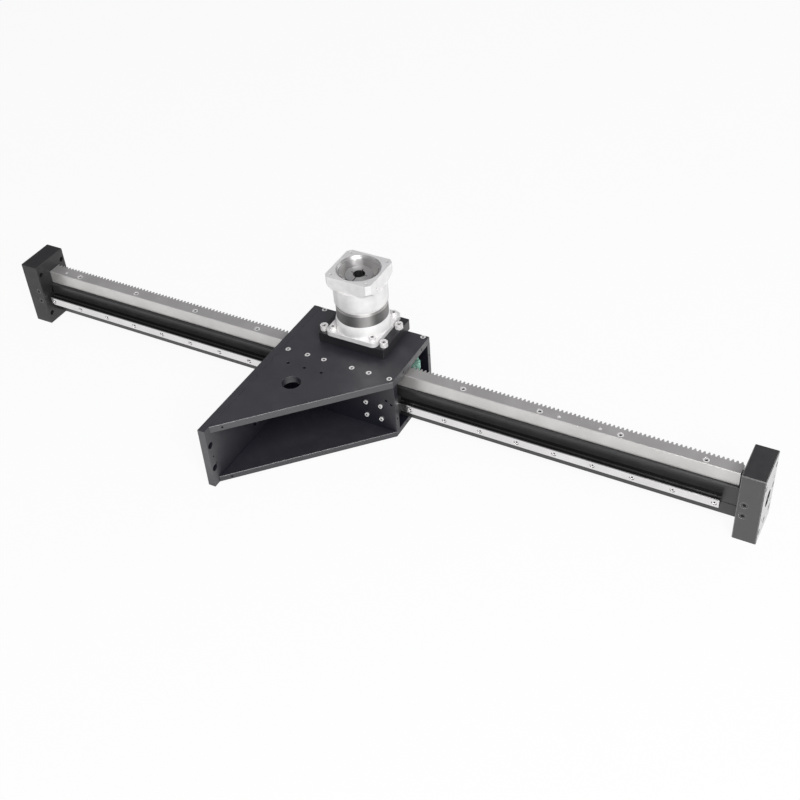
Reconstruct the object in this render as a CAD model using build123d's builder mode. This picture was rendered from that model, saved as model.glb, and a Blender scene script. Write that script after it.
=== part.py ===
"""Rack and pinion linear module: a carriage box with a planetary gearbox drives
itself along a black rail beam that carries a helical rack and a profile rail.

Frame: millimetres, +Z up, +X along the beam. The origin is the middle of the
bounding box at rest, on the surface that the two end blocks stand on.
"""
import os
from math import acos, atan, ceil, cos, degrees, floor, hypot, pi, radians, sin, sqrt, tan

from build123d import *

os.makedirs("parts", exist_ok=True)

# Rack bar: a helical rack of normal module 2 with 24 x 24 section
module = 2.0
helix_angle = 19.5283
normal_pressure_angle = 20.0
rack_height = 24.0
rack_depth = 24.0
rack_length = 1000.0
rack_end_gap = 6.0
rack_chamfer = 0.8
rack_screw_inset = 8.0
rack_screw_first = 62.5
rack_screw_pitch = 125.0
rack_dowel_first = 31.7
rack_dowel_radius = 2.85
dowel_length = 32.0

# Rail beam: a hollow profile, measured from the rail seat and the rack seat
beam_length = 1244.0
beam_width = 40.0
beam_height = 56.0
beam_front_wall = 9.5
beam_top_wall = 9.0
beam_back_wall = 4.5
beam_bottom_wall = 4.5
beam_web = 3.0
beam_web_drop = 15.0
beam_ledge = 4.4
beam_edge = 1.2
locating_step = 0.8
groove_width = 6.0
groove_depth = 3.0

# Guide rail, size 15, with its row of counterbored holes. The shares are the heights
# of the foot's end, the waist's two ends and the head's two ends
rail_width = 15.0
rail_height = 15.0
rail_waist = 12.0
rail_drop = 26.3
rail_end_left = 5.0
rail_first_hole = 6.8
rail_hole_pitch = 60.0
rail_hole_count = 21
rail_shares = (0.40, 0.50, 0.62, 0.76, 0.94)
rail_head_chamfer = 0.9
rail_counterbore_depth = 5.3

# End blocks
block_thickness = 34.0
block_width = 70.0
block_rise = 25.0
block_drop = 96.0
block_front_reach = 10.0
block_edge = 1.0
block_bore_radius = 13.0
tool_circle_radius = 31.5
tool_hole_radius = 2.5
tool_hole_depth = 14.0
mount_hole_across = 54.0
mount_hole_tall = 82.0
mount_hole_radius = 4.5
beam_screw_inset = 6.0
clamp_screw_inset = 10.0
clamp_bore_wall = 3.0
bore_relief_radius = 14.0
bore_relief_depth = 1.0
clamp_screw_spread = 20.5
clamp_screw_drop = 38.0
beam_screw_thread = 16.0
port_wall = 2.2

# Carriage box made of bolted plates
carriage_length = 212.0
carriage_offset = -8.4
mounting_plate_thickness = 12.0
top_thickness = 12.0
bottom_thickness = 10.0
guide_plate_thickness = 10.0
back_plate_thickness = 8.0
top_gap = 8.0
beam_gap = 1.5
window_gap = 4.0
box_front_run = 202.0
mounting_overhang = 11.6
back_room = 36.0
side_screw_inset = 30.0
side_screw_spread = 54.0
plate_edge = 0.5
plate_screw_thread = 14.0
side_screw_thread = 14.0
front_screw_offsets = (-90.7, -55.0, -25.0, 25.0, 55.0, 90.7)
back_screw_offsets = (-90.7, -30.0, 30.0, 90.7)
cable_hole_radius = 15.0
cable_hole_inset = 64.0
cable_hole_side = 58.0
accessory_hole_radius = 2.5
accessory_hole_pitch = 30.0
accessory_hole_offset = 30.2
cover_hole_radius = 1.65
cover_hole_depth = 10.0
cover_hole_spread = 60.8
cover_hole_end = 20.0
port_radius_front = 2.5
port_insets = ((15.4, 23.1), (6.8, 28.4))
window_corner = 5.0
passage_room = 1.5
side_hole_spread = 43.4
machine_hole_radius = 3.3
machine_head_radius = 5.5
machine_head_depth = 6.6
machine_hole_spread = 45.0
machine_hole_inset = 8.0
machine_row_pitch = 112.0
stop_hole_radius = 1.6
stop_hole_depth = 6.0
stop_hole_places = ((9.6, 59.5), (14.3, 42.7))

# Guide blocks, size 15, four screws each
slide_width = 34.0
slide_steel_length = 39.4
slide_cap_length = 9.5
slide_seal = 1.5
slide_build_height = 28.0
slide_base_gap = 4.0
slide_spacing = 122.4
slide_screw_pitch = 26.0
slide_fit = 0.3
slide_chamfer = 1.5
slide_thread = 6.0
cap_chamfer = 3.0
cap_trim = 0.4
seal_trim = 0.9
nipple_hex = 5.0
nipple_hex_height = 2.5
nipple_neck_radius = 1.6
nipple_neck_height = 2.0
nipple_head_radius = 2.2
nipple_head_height = 2.2
nipple_taper = 18.0

# Socket head screws by thread: radius of shank and head, height of head, width of key
shank = {"m4": 2.0, "m5": 2.5, "m6": 3.0, "m8": 4.0}
head = {"m4": 3.5, "m5": 4.25, "m6": 5.0, "m8": 6.5}
head_height = {"m4": 4.0, "m5": 5.0, "m6": 6.0, "m8": 8.0}
key_size = {"m4": 3.0, "m5": 4.0, "m6": 5.0, "m8": 6.0}
screw_clearance = 0.25
head_clearance = 0.4
thread_clearance = 0.02
head_below_face = 0.3
socket_share = 0.55
screw_proud = 2.0

# Pinion and felt gear that run in the rack
pinion_teeth = 20
pinion_width = 23.0
pinion_lift = 0.9
felt_teeth = 18
felt_width = 12.0
felt_lift = 2.4
felt_offset = 75.0
tooth_thinning = 0.06
tooth_foot = 1.25
felt_axle_radius = 4.0
felt_hub_radius = 9.0
felt_hub_flange = 12.0
felt_flange_thickness = 1.5
felt_axle_collar = 6.5
felt_axle_foot = 1.5
felt_axle_thread = 9.0
felt_gap = 0.3

# Gearbox: frame size 90, ratio 5, standing upright on its adaptor plate
gearbox_offset = 1.0
adaptor_across = 117.0
adaptor_along = 87.0
adaptor_thickness = 18.0
adaptor_screw_across = 107.0
adaptor_screw_along = 50.0
adaptor_screw_shift = -7.4
adaptor_corner = 2.0
slot_travel = 1.5
flange_side = 90.0
flange_corner = 9.0
flange_thickness = 8.0
flange_circle = 100.0
flange_pilot_radius = 40.0
pilot_length = 3.0
pilot_end_gap = 0.3
flange_screw_thread = 12.0
flare_reach = -0.5
flare_belly = 2.6
flare_share = 0.45
output_housing_height = 27.0
ring_height = 24.0
ring_outer_radius = 41.3
input_housing_height = 37.0
input_housing_radius = 43.0
input_neck_height = 5.0
input_neck_share = 0.5
input_neck_radius = 40.3
motor_side = 80.0
motor_corner = 5.0
motor_flange_height = 22.5
motor_foot_radius = 47.0
motor_foot_rise = 6.0
motor_corner_radius = 52.0
motor_pilot_radius = 35.0
motor_pilot_depth = 4.0
motor_circle = 90.0
motor_hole_radius = 2.5
motor_hole_depth = 12.0
hub_room_radius = 32.0

# Planetary stage: straight teeth of module 1
stage_module = 1.0
stage_pressure_angle = 20.0
sun_teeth = 18
planet_teeth = 27
ring_teeth = 72
planet_count = 3
stage_width = 12.0
stage_thinning = 0.05
planet_pin_radius = 4.0
sun_stem_radius = 5.0
sun_stem_grip = 8.0
needle_ring = 2.0
carrier_radius = 31.0
carrier_thickness = 6.0

# Output shaft, its bearings and seal
shaft_radius = 12.5
pinion_seat_radius = 11.0
output_bearing_radius = 21.0
output_bearing_width = 9.0
seal_width = 6.0
seal_recess = 1.0
key_width = 6.0
key_length = 14.0
key_shaft_depth = 3.5
key_hub_depth = 2.8
washer_radius = 12.0
washer_thickness = 2.5
washer_clearance = 0.5
key_inset = 1.0
carrier_shoulder = 3.0
pinion_screw_head = 3.9
pinion_screw_key = 4.0
pinion_screw_key_depth = 2.2
pinion_screw_thread = 13.0

# Input hub with its clamp collar
hub_radius = 15.0
hub_lift = 1.0
motor_shaft_radius = 9.5
motor_shaft_depth = 30.0
input_bearing_radius = 27.5
input_bearing_width = 13.0
bearing_shoulder = 4.0
bearing_stop = 2.0
bearing_ring_share = 0.3
bearing_shield_share = 0.12
collar_radius = 22.0
collar_height = 22.0
collar_below_face = 10.5
slit_width = 2.0
collar_screw_offset = 17.5
collar_screw_drop = 5.5
collar_screw_length = 16.0
collar_seat_reach = 8.0
access_hole_radius = 3.0
plug_inset = 0.3
plug_length = 7.0
plug_key = 3.0
plug_key_depth = 3.0
fit = 0.02
running_fit = 0.05
end_play = 0.5

# Places that follow from the sizes, along Z
rack_top = block_drop
rack_bottom = rack_top - rack_height
beam_bottom = rack_bottom - beam_height
rail_middle = rack_bottom - rail_drop
block_top = rack_top + block_rise
block_middle = block_top / 2
box_bottom = beam_bottom - beam_gap - bottom_thickness
bottom_face = box_bottom + bottom_thickness
top_face = rack_top + top_gap
box_top = top_face + top_thickness
box_middle = (box_bottom + box_top) / 2
adaptor_top = box_top + adaptor_thickness
flange_top = adaptor_top + flange_thickness
ring_bottom = adaptor_top + output_housing_height
ring_top = ring_bottom + ring_height
input_top = ring_top + input_housing_height
motor_face = input_top + motor_flange_height

# Tooth sizes in the plane of rotation
transverse_module = module / cos(radians(helix_angle))
transverse_pitch = pi * transverse_module
transverse_angle = atan(tan(radians(normal_pressure_angle)) / cos(radians(helix_angle)))
pinion_pitch_radius = transverse_module * pinion_teeth / 2
felt_pitch_radius = transverse_module * felt_teeth / 2
planet_orbit = stage_module * (sun_teeth + planet_teeth) / 2

# Places along Y: the box is centred between its front plate end and the adaptor's back
rail_reach = rack_depth - module + beam_ledge + slide_build_height
front_reach = rail_reach + guide_plate_thickness + box_front_run + mounting_overhang
back_reach = pinion_pitch_radius + adaptor_along / 2
pitch_line = (front_reach - back_reach) / 2
rack_back = pitch_line - rack_depth + module
rail_seat = rack_back - beam_ledge
beam_back = rail_seat + beam_width
rail_front = rail_seat - rail_height
guide_inner = rail_seat - slide_build_height
guide_outer = guide_inner - guide_plate_thickness
guide_middle = (guide_inner + guide_outer) / 2
back_inner = beam_back + back_room
back_outer = back_inner + back_plate_thickness
back_middle = (back_inner + back_outer) / 2
box_front = guide_outer - box_front_run
mounting_front = box_front - mounting_overhang
block_front = rail_front - block_front_reach
block_centre = block_front + block_width / 2
gearbox_y = pitch_line + pinion_pitch_radius
felt_y = pitch_line + felt_pitch_radius

# Places along X
beam_start = -beam_length / 2
beam_end = beam_length / 2
box_left = carriage_offset - carriage_length / 2
box_right = carriage_offset + carriage_length / 2
plate_left = box_left + mounting_plate_thickness
plate_middle = (plate_left + box_right) / 2
rail_start = beam_start + rail_end_left
rail_length = 2 * rail_first_hole + rail_hole_pitch * (rail_hole_count - 1)
rack_end = beam_end - rack_end_gap
felt_x = gearbox_offset + felt_offset


def involute(angle):
    """Involute function of a pressure angle."""
    return tan(angle) - angle


def polar(radius, angle):
    """Point at a radius and an angle in radians."""
    return (radius * cos(angle), radius * sin(angle))


def rotate_about(point, centre):
    """Shift a point given about an axis to that axis's own place."""
    return (point[0] + centre[0], point[1] + centre[1])


def gear_sketch(plane, centre, teeth, size, pressure, tip, root, thickness, phase):
    """Outline of a gear whose flanks are arcs through three points of the involute.

    thickness is the tooth's width on the pitch circle, and phase is the angle of
    the middle of one tooth. tip and root are heights above and below that circle.
    """
    pitch_radius = size * teeth / 2
    base_radius = pitch_radius * cos(pressure)
    tip_radius = pitch_radius + tip
    root_radius = pitch_radius - root
    start_radius = max(base_radius * 1.0005, root_radius)
    half_pitch = thickness / 2 / pitch_radius + involute(pressure)

    def half_angle(radius):
        return half_pitch - involute(acos(min(1, base_radius / radius)))

    radii = (start_radius, (start_radius + tip_radius) / 2, tip_radius)
    with BuildSketch(plane) as outline:
        with BuildLine():
            for tooth in range(teeth):
                middle = phase + tooth * 2 * pi / teeth
                following = middle + 2 * pi / teeth
                rising = [polar(r, middle - half_angle(r)) for r in radii]
                falling = [polar(r, middle + half_angle(r)) for r in reversed(radii)]
                foot_out = polar(root_radius, middle + half_angle(start_radius))
                foot_next = polar(root_radius, following - half_angle(start_radius))
                place = [rotate_about(p, centre) for p in (*rising, *falling, foot_out, foot_next)]
                next_start = rotate_about(polar(start_radius, following - half_angle(start_radius)), centre)
                ThreePointArc(place[0], place[1], place[2])
                Line(place[2], place[3])
                ThreePointArc(place[3], place[4], place[5])
                if start_radius > root_radius:
                    Line(place[5], place[6])
                    Line(place[6], place[7])
                    Line(place[7], next_start)
                else:
                    Line(place[5], next_start)
        make_face()
    return outline.sketch


def cap_screws(planes, size, length):
    """Socket head screws: each plane lies on the head's seat and faces out of it."""
    with BuildPart() as screws:
        with BuildSketch(*planes):
            Circle(head[size])
        extrude(amount=head_height[size])
        with BuildSketch(*planes):
            Circle(shank[size])
        extrude(amount=-length)
        with BuildSketch(*[plane.offset(head_height[size]) for plane in planes]):
            RegularPolygon(key_size[size] / 2, 6, major_radius=False)
        extrude(amount=-head_height[size] * socket_share, mode=Mode.SUBTRACT)
    return screws


def bores(planes, radius, depth):
    """Round holes, all of one size, sunk from planes that lie on their mouths."""
    with BuildSketch(*planes) as mouths:
        Circle(radius)
    extrude(mouths.sketch, amount=-depth, mode=Mode.SUBTRACT)


def screw_holes(planes, size, through, head_room=0.0):
    """Clearance holes with counterbores, cut from planes on the heads' seats."""
    bores(planes, shank[size] + screw_clearance, through)
    if head_room > 0:
        bores([plane.offset(head_room) for plane in planes], head[size] + head_clearance, head_room)


def tapped_holes(planes, size, depth):
    """Holes that a screw's thread fills, cut down from planes on the open face."""
    bores(planes, shank[size] + thread_clearance, depth)


def facing_up(x, y, z):
    """Plane at a point, facing +Z."""
    return Plane(origin=(x, y, z), x_dir=(1, 0, 0), z_dir=(0, 0, 1))


def facing_down(x, y, z):
    """Plane at a point, facing -Z."""
    return Plane(origin=(x, y, z), x_dir=(1, 0, 0), z_dir=(0, 0, -1))


def facing_front(x, y, z):
    """Plane at a point, facing -Y."""
    return Plane(origin=(x, y, z), x_dir=(1, 0, 0), z_dir=(0, -1, 0))


def facing_side(x, y, z, sign):
    """Plane at a point, facing +X or -X."""
    return Plane(origin=(x, y, z), x_dir=(0, sign, 0), z_dir=(sign, 0, 0))


def export(piece, name):
    """Name a finished piece and write it."""
    piece.part.label = name
    export_step(piece.part, f"parts/{name}.step")


# Where each row of screws sits
rack_screw_y = rack_back + rack_screw_inset
rack_joint = beam_start + rack_length
rack_screw_x = []
for bar_start, bar_end in ((beam_start, rack_joint), (rack_joint, rack_end)):
    screw_x = bar_start + rack_screw_first
    while screw_x < bar_end - rack_screw_inset:
        rack_screw_x.append(screw_x)
        screw_x += rack_screw_pitch
rack_dowel_x = [beam_start + rack_dowel_first, rack_joint - rack_dowel_first, rack_joint + rack_dowel_first]
rail_hole_x = [rail_start + rail_first_hole + rail_hole_pitch * n for n in range(rail_hole_count)]

rack_seat_z = rack_top - head_height["m6"] - head_below_face
rack_screw_length = rack_seat_z - rack_bottom + beam_top_wall - end_play
rack_screw_planes = [facing_up(x, rack_screw_y, rack_seat_z) for x in rack_screw_x]
rail_seat_plane_y = rail_front + rail_counterbore_depth
rail_screw_length = rail_seat - rail_seat_plane_y + beam_front_wall - end_play
rail_screw_planes = [facing_front(x, rail_seat_plane_y, rail_middle) for x in rail_hole_x]

beam_screw_places = [
    (beam_back - beam_screw_inset, rack_bottom - beam_screw_inset),
    (beam_back - beam_screw_inset, beam_bottom + beam_screw_inset),
    (rail_seat + beam_screw_inset, beam_bottom + beam_screw_inset),
]
beam_screw_length = block_thickness + beam_screw_thread - head_height["m6"] - head_below_face
clamp_screw_heights = [
    rack_top - clamp_screw_drop + clamp_screw_spread / 2,
    rack_top - clamp_screw_drop - clamp_screw_spread / 2,
]
clamp_seat_y = block_front + head_height["m6"] + head_below_face
clamp_screw_length = block_centre - block_bore_radius - clamp_bore_wall - clamp_seat_y


# Rail beam
cavity_front = rail_seat + beam_front_wall
cavity_back = beam_back - beam_back_wall
web_top = rack_bottom - beam_web_drop
upper_cavity = (rack_bottom - beam_top_wall, web_top)
lower_cavity = (web_top - beam_web, beam_bottom + beam_bottom_wall)
step_top = rail_middle - rail_width / 2
port_radius = shank["m6"] + port_wall

with BuildPart() as beam_profile:
    with BuildSketch(Plane.YZ.offset(beam_start)):
        with BuildLine():
            Polyline(
                (rail_seat, step_top),
                (rail_seat, rack_bottom - beam_edge),
                (rail_seat + beam_edge, rack_bottom),
                (beam_back - beam_edge, rack_bottom),
                (beam_back, rack_bottom - beam_edge),
                (beam_back, beam_bottom + beam_edge),
                (beam_back - beam_edge, beam_bottom),
                (rail_seat - locating_step + beam_edge, beam_bottom),
                (rail_seat - locating_step, beam_bottom + beam_edge),
                (rail_seat - locating_step, step_top),
                close=True,
            )
        make_face()
        for high, low in (upper_cavity, lower_cavity):
            with Locations(((cavity_front + cavity_back) / 2, (high + low) / 2)):
                Rectangle(cavity_back - cavity_front, high - low, mode=Mode.SUBTRACT)
        with Locations(*beam_screw_places):
            Circle(port_radius)
        with Locations((beam_back, rack_bottom - beam_height / 2)):
            Rectangle(groove_depth * 2, groove_width, mode=Mode.SUBTRACT)
        with Locations(*beam_screw_places):
            Circle(shank["m6"] + thread_clearance, mode=Mode.SUBTRACT)
    extrude(amount=beam_length)
    tapped_holes([facing_up(x, rack_screw_y, rack_bottom) for x in rack_screw_x], "m6", beam_top_wall)
    tapped_holes([facing_front(x, rail_seat, rail_middle) for x in rail_hole_x], "m4", beam_front_wall)
    with Locations(*[(x, rack_screw_y, rack_bottom) for x in rack_dowel_x]):
        Hole(rack_dowel_radius + fit, dowel_length - rack_height)
export(beam_profile, "beam_profile")


# Racks: the toothed outline is drawn at the bottom and pulled up along the helix
lean = tan(radians(helix_angle))


def rack_outline(start, end):
    """Points along the teeth of a rack between two ends, seen from above at its foot."""
    half_thickness = transverse_pitch / 4 - tooth_thinning / 2
    slope = tan(transverse_angle)
    tip_half = half_thickness - module * slope
    root_half = half_thickness + tooth_foot * module * slope
    tip_y = pitch_line + module
    root_y = pitch_line - tooth_foot * module
    margin = rack_height * lean
    first = floor((start - beam_start - margin) / transverse_pitch) - 1
    last = ceil((end - beam_start + margin) / transverse_pitch) + 1
    points = []
    for tooth in range(first, last):
        middle = beam_start + (tooth + 0.5) * transverse_pitch - rack_height * lean / 2
        points += [
            (middle - root_half, root_y),
            (middle - tip_half, tip_y),
            (middle + tip_half, tip_y),
            (middle + root_half, root_y),
        ]
    return [(points[0][0], rack_back)] + points + [(points[-1][0], rack_back)]


def rack_bar(start, end):
    """Rack cut square at both ends, with counterbored screw holes and dowel holes."""
    with BuildPart() as bar:
        with BuildSketch(Plane.XY.offset(rack_bottom)):
            with BuildLine():
                Polyline(*rack_outline(start, end), close=True)
            make_face()
        extrude(amount=rack_height * hypot(lean, 1), dir=(lean, 0, 1))
        with BuildSketch(Plane.XY.offset(rack_bottom)):
            with Locations(((start + end) / 2, pitch_line - rack_depth / 2 + module)):
                Rectangle(end - start, rack_depth * 2)
        extrude(amount=rack_height, mode=Mode.INTERSECT)
        long_edges = bar.edges().filter_by(Axis.X).group_by(Axis.Y)[0]
        chamfer(long_edges, rack_chamfer)
        screws = [plane for plane in rack_screw_planes if start < plane.origin.X < end]
        screw_holes(screws, "m6", rack_seat_z - rack_bottom, rack_top - rack_seat_z)
        with Locations(*[(x, rack_screw_y, rack_top) for x in rack_dowel_x if start < x < end]):
            Hole(rack_dowel_radius + fit, rack_height)
    return bar


rack_long = rack_bar(beam_start, rack_joint)
export(rack_long, "rack_long")
rack_short = rack_bar(rack_joint, rack_end)
export(rack_short, "rack_short")

rack_screws = cap_screws(rack_screw_planes, "m6", rack_screw_length)
export(rack_screws, "rack_screws")

with BuildPart() as rack_dowels:
    with BuildSketch(Plane.XY.offset(rack_top - head_below_face)):
        with Locations(*[(x, rack_screw_y) for x in rack_dowel_x]):
            Circle(rack_dowel_radius)
    extrude(amount=-dowel_length + 2 * head_below_face)
export(rack_dowels, "rack_dowels")


# Guide rail with its waisted section, and the guide blocks that wrap it
def rail_points(grow):
    """Half of the rail's section, as distances from its middle and from its seat."""
    half = rail_width / 2 + grow
    waist = rail_waist / 2 + grow
    foot_end, waist_start, waist_end, head_start, head_end = rail_shares
    return [
        (half, 0.0),
        (half, rail_height * foot_end - grow / 2),
        (waist, rail_height * waist_start - grow / 2),
        (waist, rail_height * waist_end + grow / 2),
        (half, rail_height * head_start + grow / 2),
        (half, rail_height * head_end + grow / 2),
        (half - rail_head_chamfer, rail_height + grow),
    ]


def rail_section(grow):
    """Closed outline of the rail in the Y-Z plane, made larger by a running gap."""
    half = rail_points(grow)
    upper = [(rail_seat - out, rail_middle + side) for side, out in half]
    lower = [(rail_seat - out, rail_middle - side) for side, out in reversed(half)]
    return upper + lower


with BuildPart() as guide_rail:
    with BuildSketch(Plane.YZ.offset(rail_start)):
        with BuildLine():
            Polyline(*rail_section(0.0), close=True)
        make_face()
    extrude(amount=rail_length)
    screw_holes(rail_screw_planes, "m4", rail_height, rail_counterbore_depth)
export(guide_rail, "guide_rail")

rail_screws = cap_screws(rail_screw_planes, "m4", rail_screw_length)
export(rail_screws, "rail_screws")

slide_length = slide_steel_length + 2 * (slide_cap_length + slide_seal)
slide_centres = [plate_middle - slide_spacing / 2, plate_middle + slide_spacing / 2]
slide_outer = rail_seat - slide_build_height
slide_inner = rail_seat - slide_base_gap


def slide_slice(start, length, trim, chamfered):
    """A length of guide block: a channel round the rail with its four corners cut."""
    half = slide_width / 2 - trim
    outer = slide_outer + trim
    inner = slide_inner - trim
    with BuildPart() as piece:
        with BuildSketch(Plane.YZ.offset(start)):
            with BuildLine():
                Polyline(
                    (outer, rail_middle - half + chamfered),
                    (outer + chamfered, rail_middle - half),
                    (inner - chamfered, rail_middle - half),
                    (inner, rail_middle - half + chamfered),
                    (inner, rail_middle + half - chamfered),
                    (inner - chamfered, rail_middle + half),
                    (outer + chamfered, rail_middle + half),
                    (outer, rail_middle + half - chamfered),
                    close=True,
                )
            make_face()
            with BuildLine():
                Polyline(*rail_section(slide_fit), close=True)
            make_face(mode=Mode.SUBTRACT)
        extrude(amount=length)
    return piece


slide_screw_planes = []
slide_seat_y = guide_outer + head_height["m4"] - screw_proud
for slide_x in slide_centres:
    for side in (-1, 1):
        for level in (-1, 1):
            slide_screw_planes.append(
                facing_front(
                    slide_x + side * slide_screw_pitch / 2,
                    slide_seat_y,
                    rail_middle + level * slide_screw_pitch / 2,
                )
            )
slide_screw_length = guide_inner - slide_seat_y + slide_thread - end_play

for slide_name, slide_x in zip(("left", "right"), slide_centres):
    steel_start = slide_x - slide_steel_length / 2
    steel = slide_slice(steel_start, slide_steel_length, 0.0, slide_chamfer)
    with BuildPart() as guide_block:
        add(steel.part)
        block_planes = [p for p in slide_screw_planes if abs(p.origin.X - slide_x) < slide_steel_length / 2]
        seats = [facing_front(p.origin.X, slide_outer, p.origin.Z) for p in block_planes]
        tapped_holes(seats, "m4", slide_thread)
    export(guide_block, f"guide_block_{slide_name}")

with BuildPart() as block_end_caps:
    for slide_x in slide_centres:
        steel_start = slide_x - slide_steel_length / 2
        steel_end = slide_x + slide_steel_length / 2
        for cap_start in (steel_start - slide_cap_length, steel_end):
            add(slide_slice(cap_start, slide_cap_length, cap_trim, cap_chamfer).part)
export(block_end_caps, "block_end_caps")

with BuildPart() as block_end_seals:
    for slide_x in slide_centres:
        outer_start = slide_x - slide_length / 2
        outer_end = slide_x + slide_length / 2
        for seal_start in (outer_start, outer_end - slide_seal):
            add(slide_slice(seal_start, slide_seal, seal_trim, cap_chamfer).part)
export(block_end_seals, "block_end_seals")

nipple_x = [
    slide_centres[0] - slide_steel_length / 2 - slide_cap_length / 2,
    slide_centres[1] + slide_steel_length / 2 + slide_cap_length / 2,
]
nipple_y = (slide_outer + slide_inner) / 2
nipple_z = rail_middle + slide_width / 2 - cap_trim
nipple_neck_z = nipple_z + nipple_hex_height
nipple_head_z = nipple_neck_z + nipple_neck_height
with BuildPart() as grease_nipples:
    for x in nipple_x:
        with BuildSketch(facing_up(x, nipple_y, nipple_z)):
            RegularPolygon(nipple_hex / 2, 6, major_radius=False)
        extrude(amount=nipple_hex_height)
        with BuildSketch(facing_up(x, nipple_y, nipple_neck_z)):
            Circle(nipple_neck_radius)
        extrude(amount=nipple_neck_height)
        with BuildSketch(facing_up(x, nipple_y, nipple_head_z)):
            Circle(nipple_head_radius)
        extrude(amount=nipple_head_height, taper=nipple_taper)
export(grease_nipples, "grease_nipples")

slide_screws = cap_screws(slide_screw_planes, "m4", slide_screw_length)
export(slide_screws, "guide_block_screws")


# End blocks: one at each end of the beam, alike but for their side
def tool_circle():
    """Places of the four tapped holes round the cable bore, seen along X."""
    spread = tool_circle_radius / sqrt(2)
    return [(block_centre + a * spread, block_middle + b * spread) for a in (-1, 1) for b in (-1, 1)]


def corner_places():
    """Places of the three corner holes that stand clear of the beam, seen along X."""
    front = block_centre - mount_hole_across / 2
    back = block_centre + mount_hole_across / 2
    low = block_middle - mount_hole_tall / 2
    high = block_middle + mount_hole_tall / 2
    return [(front, low), (front, high), (back, high)]


def end_block(sign):
    """Block whose outer face looks along sign; its inner face meets the beam's end."""
    inner = sign * beam_length / 2
    outer = inner + sign * block_thickness
    seat = outer - sign * (head_height["m6"] + head_below_face)
    with BuildPart() as block:
        with BuildSketch(Plane.YZ.offset(min(inner, outer))):
            with Locations((block_centre, block_middle)):
                Rectangle(block_width, block_top)
        extrude(amount=block_thickness)
        chamfer(block.edges(), block_edge)
        with BuildSketch(facing_side(outer, 0, 0, sign)) as through:
            with Locations((sign * block_centre, block_middle)):
                Circle(block_bore_radius)
            with Locations(*[(sign * y, z) for y, z in corner_places()]):
                Circle(mount_hole_radius)
        extrude(through.sketch, amount=-block_thickness, mode=Mode.SUBTRACT)
        with BuildSketch(facing_side(outer, 0, 0, sign)) as threads:
            with Locations(*[(sign * y, z) for y, z in tool_circle()]):
                Circle(tool_hole_radius)
        extrude(threads.sketch, amount=-tool_hole_depth, mode=Mode.SUBTRACT)
        bores([facing_side(inner, block_centre, block_middle, -sign)], bore_relief_radius, bore_relief_depth)
        seats = [facing_side(seat, y, z, sign) for y, z in beam_screw_places]
        screw_holes(seats, "m6", block_thickness, head_height["m6"] + head_below_face)
        clamp_x = inner + sign * clamp_screw_inset
        clamps = [facing_front(clamp_x, clamp_seat_y, z) for z in clamp_screw_heights]
        mouths = [plane.offset(head_height["m6"] + head_below_face) for plane in clamps]
        bores(mouths, head["m6"] + head_clearance, head_height["m6"] + head_below_face)
        tapped_holes(clamps, "m6", clamp_screw_length + end_play)
    return block


end_block_left = end_block(-1)
export(end_block_left, "end_block_left")
end_block_right = end_block(1)
export(end_block_right, "end_block_right")

beam_end_planes = []
clamp_planes = []
for sign in (-1, 1):
    inner_face = sign * beam_length / 2
    outer_seat = inner_face + sign * (block_thickness - head_height["m6"] - head_below_face)
    beam_end_planes += [facing_side(outer_seat, y, z, sign) for y, z in beam_screw_places]
    clamp_x = inner_face + sign * clamp_screw_inset
    clamp_planes += [facing_front(clamp_x, clamp_seat_y, z) for z in clamp_screw_heights]
end_block_screws = cap_screws(beam_end_planes, "m6", beam_screw_length)
export(end_block_screws, "end_block_screws")
block_clamp_screws = cap_screws(clamp_planes, "m6", clamp_screw_length)
export(block_clamp_screws, "block_side_screws")


# Carriage plates
def plan_outline():
    """Outline of the top and bottom plates: a rectangle with a slanted front."""
    return [
        (plate_left, back_outer),
        (box_right, back_outer),
        (box_right, guide_outer),
        (plate_left, box_front),
    ]


def plan_plate(low, thickness):
    """Plate with the plan outline and broken edges."""
    with BuildPart() as plate:
        with BuildSketch(Plane.XY.offset(low)):
            with BuildLine():
                Polyline(*plan_outline(), close=True)
            make_face()
        extrude(amount=thickness)
        chamfer(plate.edges(), plate_edge)
    return plate


plate_screw_places = [(plate_middle + d, guide_middle) for d in front_screw_offsets]
plate_screw_places += [(plate_middle + d, back_middle) for d in back_screw_offsets]
top_seat = box_top - head_height["m5"] - head_below_face
bottom_seat = box_bottom + head_height["m5"] + head_below_face
top_screw_length = top_seat - top_face + plate_screw_thread - end_play
bottom_screw_length = bottom_face - bottom_seat + plate_screw_thread - end_play
top_screw_planes = [facing_up(x, y, top_seat) for x, y in plate_screw_places]
bottom_screw_planes = [facing_down(x, y, bottom_seat) for x, y in plate_screw_places]

side_seat_x = box_left + head_height["m5"] + head_below_face
side_screw_length = plate_left - side_seat_x + side_screw_thread - end_play
top_row_z = (top_face + box_top) / 2
bottom_row_z = (box_bottom + bottom_face) / 2
side_row_y = [
    box_front + side_screw_inset,
    (box_front + side_screw_inset + guide_outer) / 2,
    (guide_inner + back_inner) / 2,
]
side_screw_places = [(y, z) for y in side_row_y for z in (top_row_z, bottom_row_z)]
side_screw_places += [
    (y, box_middle + s * side_screw_spread / 2) for y in (guide_middle, back_middle) for s in (-1, 1)
]
side_screw_planes = [facing_side(side_seat_x, y, z, -1) for y, z in side_screw_places]

adaptor_y = gearbox_y
adaptor_screw_y = adaptor_y + adaptor_screw_shift
adaptor_screw_places = [
    (gearbox_offset + a * adaptor_screw_across / 2, adaptor_screw_y + b * adaptor_screw_along / 2)
    for a in (-1, 1)
    for b in (-1, 1)
]
adaptor_screw_planes = [facing_up(x, y, adaptor_top) for x, y in adaptor_screw_places]
adaptor_screw_length = adaptor_thickness + top_thickness - end_play
pinion_passage = pinion_pitch_radius + module + passage_room


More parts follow.
